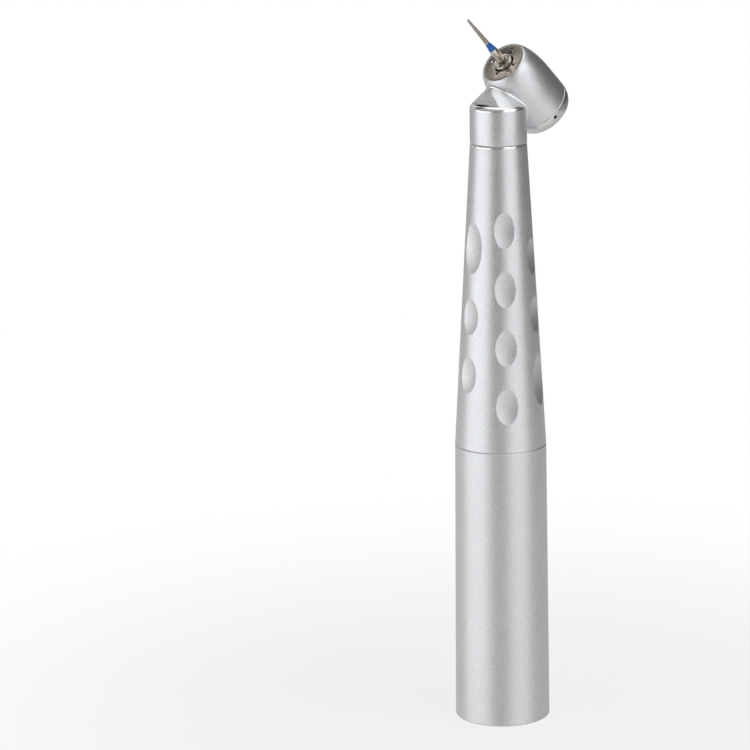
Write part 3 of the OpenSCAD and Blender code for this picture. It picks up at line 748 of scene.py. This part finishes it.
def as_wire(name, radius):
    """Makes the picked line a round wire of a radius, in millimetres, as a new piece."""
    bpy.ops.object.convert(target="CURVE")
    line = bpy.context.object
    line.data.bevel_depth = radius * MM
    line.data.bevel_resolution = 3
    line.data.use_fill_caps = True
    bpy.ops.object.convert(target="MESH")
    wire = bpy.context.object
    wire.name = wire.data.name = name
    close_up(wire)
    return wire


seam = as_wire("braze_seam", seam_bead)
soften(seam, 0)
seam.data.materials.append(solder)
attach(seam, "body")

# The two ball bearings: ground steel races, silicon nitride balls and a resin cage each.
# They sit in the head on rubber rings, and a wave washer of spring strip loads the rear one.
race_steel = finish("race_steel", turning, {"Rings": 14000.0, "Smear": 900.0},
                    (0.66, 0.66, 0.67), (0.80, 0.80, 0.81), 0.12, 0.24, 0.000001, axis=in_head)
dress(race_steel, "front_bearing_outer", "front_bearing_inner", "rear_bearing_outer", "rear_bearing_inner")
ball_ceramic = finish("ball_ceramic", blasted, {"Grains": 8000.0, "Cloud": 2500.0},
                      (0.020, 0.020, 0.022), (0.045, 0.045, 0.048), 0.06, 0.14, 0.000001, metallic=0.0)
dress(ball_ceramic, "front_bearing_balls", "rear_bearing_balls")
cage_resin = finish("cage_resin", blasted, {"Grains": 5000.0, "Cloud": 1500.0},
                    (0.16, 0.075, 0.025), (0.30, 0.16, 0.06), 0.45, 0.65, 0.000008, metallic=0.0)
dress(cage_resin, "front_bearing_cage", "rear_bearing_cage")
spring_steel = finish("spring_steel", blasted, {"Grains": 7000.0, "Cloud": 1200.0},
                      (0.50, 0.50, 0.51), (0.70, 0.70, 0.71), 0.20, 0.34, 0.000002)
dress(spring_steel, "preload_washer")

# The rotor: a ground steel spindle with its chuck sleeve and pusher, and a milled alloy impeller.
# The spindle's nose stands out of the spray plate as a bright ring round the bur.
rotor_steel = finish("rotor_steel", turning, {"Rings": 16000.0, "Smear": 1200.0},
                     (0.50, 0.48, 0.455), (0.68, 0.66, 0.63), 0.14, 0.28, 0.000002, axis=in_head)
dress(rotor_steel, "spindle", "chuck_collet", "chuck_pusher")
impeller_alloy = finish("impeller_alloy", blasted, {"Grains": 5000.0, "Cloud": 800.0},
                        (0.62, 0.62, 0.64), (0.80, 0.80, 0.82), 0.24, 0.38, 0.000004)
dress(impeller_alloy, "impeller")

# The spray plate: a polished steel disc pressed into the head's front, slightly dished to the chuck.
# Four spray ports are drilled in it and aim at the bur's cutting end.
plate_steel = finish("plate_steel", turning, {"Rings": 9000.0, "Smear": 700.0},
                     (0.52, 0.455, 0.405), (0.68, 0.605, 0.545), 0.13, 0.24, 0.000004, axis=in_head)
plate_bore_r, plate_front, plate_break = 1.95, -0.32, 0.08
plate = turned("spray_plate_disc", [
    (plate_bore_r, -0.10),
    (plate_bore_r + 0.1, -0.20),
    (3.8, plate_front),
    (plate_r - plate_break, plate_front),
    (plate_r, plate_front + plate_break),
    (plate_r, plate_back),
    (plate_bore_r, plate_back),
], around=128)
# Painted shade: near-black walls for drilled holes, standing in for the shade inside them.
hole_shade = finish("painted_hole_shade", blasted, {"Grains": 9000.0, "Cloud": 2500.0},
                 (0.035, 0.031, 0.028), (0.12, 0.105, 0.095), 0.40, 0.60, 0.000004)


def drill_four(piece, radius, deep, place):
    """Drills four holes round a piece's axis, the first at a place, and gives their walls the second
    material, a painted shade.
    """
    places = [Matrix.Rotation(math.radians(90 * i), 4, "Z") @ place for i in range(4)]
    drills = []
    for at in places:
        bpy.ops.mesh.primitive_cylinder_add(vertices=40, radius=radius * MM, depth=deep * MM)
        drills.append(bpy.context.object)
        seat(drills[-1], at)
    cut(piece, join(drills))
    weld(piece, 0.045)
    for side in piece.data.polygons:
        for at in places:
            inside = at.inverted() @ side.center
            wall = abs((at.to_3x3().inverted() @ side.normal).z) < 0.5
            if wall and math.hypot(inside.x, inside.y) < (radius + 2 * hair) * MM:
                side.material_index = 1


port_r, port_pitch_r, port_lean, port_drill = 0.3, 2.82, math.radians(15), 6.0
drill_four(plate, port_r, port_drill, (
    Matrix.Translation((port_pitch_r * MM, 0, plate_back * MM)) @ Matrix.Rotation(port_lean, 4, "Y")
))
seat(plate, in_head)
soften(plate, 0.02)
stand_for(plate, "body", "spray_plate", "polished_steel", plate_steel, hole_shade)

# The back cap: a polished steel screw cap that closes the head behind the turbine.
# Its end is rounded, and a spanner turns it by four small holes in its side.
cap_steel = finish("cap_steel", turning, {"Rings": 9000.0, "Smear": 700.0},
                   (0.66, 0.635, 0.615), (0.83, 0.81, 0.795), 0.13, 0.24, 0.000002, axis=in_head)
cap_dome, cap_dome_r, cap_dome_len, cap_dome_turn = 11.75, 1.2, 2.6, 69
cap_end = cap_dome + cap_dome_len * math.sin(math.radians(cap_dome_turn))
ring_r, ring_deep, cap_hollow_r, cap_floor, pusher_r = 4.65, 0.6, 4.2, 11.6, 2.2
washer_r, washer_front, washer_back, seat_back = 3.87, 9.14, 9.94, 10.95
cap = turned("back_cap_shell", [
    (seat_r, screw_front),
    (screw_r, screw_front),
    (screw_r, cap_front),
    (head_r - cap_break, cap_front),
    (head_r, cap_front + cap_break),
    *[(head_r - cap_dome_r * (1 - math.cos(t)), cap_dome + cap_dome_len * math.sin(t))
      for t in (math.radians(cap_dome_turn * i / 24) for i in range(25))],
    (ring_r, cap_end),
    (ring_r, cap_end - ring_deep),
    (cap_hollow_r, cap_end - ring_deep),
    (cap_hollow_r, cap_floor),
    (pusher_r, cap_floor),
    (pusher_r, seat_back),
    (seat_r, seat_back),
    (seat_r, washer_back),
    (washer_r, washer_back),
    (washer_r, washer_front),
    (seat_r, washer_front),
], around=192)
spanner_r, spanner_depth, spanner_turn, spanner_drill = 0.36, 12.4, math.radians(-72), 1.0
drill_four(cap, spanner_r, spanner_drill, (
    Matrix.Rotation(spanner_turn, 4, "Z")
    @ Matrix.Translation(((head_r - 0.1) * MM, 0, spanner_depth * MM))
    @ Matrix.Rotation(math.radians(90), 4, "Y")
))
seat(cap, in_head)
soften(cap, 0.02)
stand_for(cap, "body", "back_cap", "polished_steel", cap_steel, hole_shade)

# The push button and its retaining ring: a polished dome that frees the bur, kept in the cap by
# a screwed ring. A conical spring under it pushes it back.
ring_bore_r, ring_proud = 3.85, 0.05
ring = turned("retainer_ring", [
    (ring_bore_r, cap_end - ring_deep),
    (ring_r, cap_end - ring_deep),
    (ring_r, cap_end - ring_proud),
    (ring_r - 0.15, cap_end + ring_proud),
    (ring_bore_r + 0.15, cap_end + ring_proud),
    (ring_bore_r, cap_end - 0.1),
], around=160)
seat(ring, in_head)
soften(ring, 0.03)
stand_for(ring, "body", "button_retainer", "polished_steel", cap_steel)
button_under, button_edge, button_end = 12.85, cap_end - 0.15, cap_end + 0.45
stem_r, stem_front, flange_r, flange_back = 1.2, 12.1, 4.1, cap_end - 0.65
dome_r, dome_round = 3.45, 0.3
button = turned("button_dome", [
    (0.0, stem_front),
    (stem_r, stem_front),
    (stem_r, button_under),
    (flange_r, button_under),
    (flange_r, flange_back),
    (dome_r + dome_round, flange_back),
    *arc(dome_r, button_edge, dome_round, 0, 90, 6),
    *[(dome_r * t, button_end - dome_round * t * t) for t in (0.85, 0.7, 0.55, 0.4, 0.25, 0.1)],
    (0.0, button_end),
], around=160)
seat(button, in_head)
soften(button, 0.03)
stand_for(button, "button", "push_button", "polished_steel", cap_steel)

wire_r, coil_turns, coil_wide, coil_narrow, coil_steps = 0.14, 2.5, 3.6, 1.75, 200
bpy.ops.mesh.primitive_circle_add(vertices=coil_steps + 1, radius=MM)
coil = bpy.context.object
for i, corner in enumerate(coil.data.vertices):
    t = i / coil_steps
    turn = 2 * math.pi * coil_turns * t
    reach = coil_wide + (coil_narrow - coil_wide) * t
    height = cap_floor + wire_r + (button_under - cap_floor - 2 * wire_r) * t
    corner.co = Vector((reach * math.cos(turn), reach * math.sin(turn), height)) * MM
edit_all(coil)
bpy.ops.mesh.select_all(action="DESELECT")
bpy.ops.object.mode_set(mode="OBJECT")
for edge in coil.data.edges:
    edge.select = set(edge.vertices) == {0, coil_steps}
bpy.ops.object.mode_set(mode="EDIT")
bpy.ops.mesh.select_mode(type="EDGE")
bpy.ops.mesh.delete(type="EDGE")
bpy.ops.mesh.select_mode(type="VERT")
bpy.ops.object.mode_set(mode="OBJECT")
coil = as_wire("button_coil", wire_r)
seat(coil, in_head)
soften(coil, 0)
stand_for(coil, "body", "button_spring", "spring_steel", spring_steel)
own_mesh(coil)

# The bur: a ground steel shank with a blue grit band, and a slim taper coated with diamond grains.
# The grains are held in plated nickel, which shows between them.
bur_steel = finish("bur_steel", turning, {"Rings": 20000.0, "Smear": 1500.0},
                   (0.56, 0.51, 0.46), (0.78, 0.72, 0.65), 0.13, 0.24, 0.000002, axis=in_head)
band_blue = finish("band_blue", blasted, {"Grains": 9000.0, "Cloud": 2500.0},
                   (0.003, 0.075, 0.29), (0.008, 0.14, 0.47), 0.34, 0.48, 0.000004, metallic=0.0)
band_low, band_high = -6.0, -4.3
shank = turned("bur_shank", [
    (0.0, 9.0),
    (0.7, 9.0),
    (0.8, 8.9),
    (0.8, -3.7),
    (0.703, -4.25),
    (0.41, -6.05),
    (0.42, -6.1),
    (0.4, -6.4),
    (0.0, -6.4),
], around=96)
for side in shank.data.polygons:
    side.material_index = 1 if band_low < side.center.z / MM < band_high else 0
seat(shank, in_head)
soften(shank, 0.03)
stand_for(shank, "bur", "bur", "bur_steel", bur_steel, band_blue)

grit_top, grit_tip, grit_r, tip_r, grit_rows = -6.1, -12.7, 0.46, 0.23, 220
grit_low, grit_high = grit_tip + tip_r, grit_top - 0.2
grit = turned("bur_grit", [
    (0.0, grit_top),
    (grit_r - 0.08, grit_top),
    (grit_r - 0.02, grit_high),
    *[(grit_r + (tip_r - grit_r) * t, grit_high + (grit_low - grit_high) * t)
      for t in (i / grit_rows for i in range(1, grit_rows + 1))],
    *arc(0.0, grit_low, tip_r, 0, -85, 8)[1:],
    (0.0, grit_tip),
], around=96)
grains = bpy.data.textures.new("grains", "VORONOI")
grains.noise_scale = 0.09 * MM
grains.distance_metric = "DISTANCE"
apply(grit, "DISPLACE", texture=grains, texture_coords="LOCAL", direction="NORMAL",
      mid_level=1.0, strength=0.05 * MM)
seat(grit, in_head)
diamond = finish("diamond_grit", blasted, {"Grains": 6500.0, "Cloud": 2500.0},
                 (0.10, 0.075, 0.055), (0.66, 0.59, 0.51), 0.26, 0.46, 0.000010, metallic=0.85)
bpy.ops.object.shade_flat()
grit.data.materials.append(diamond)
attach(grit, "bur")
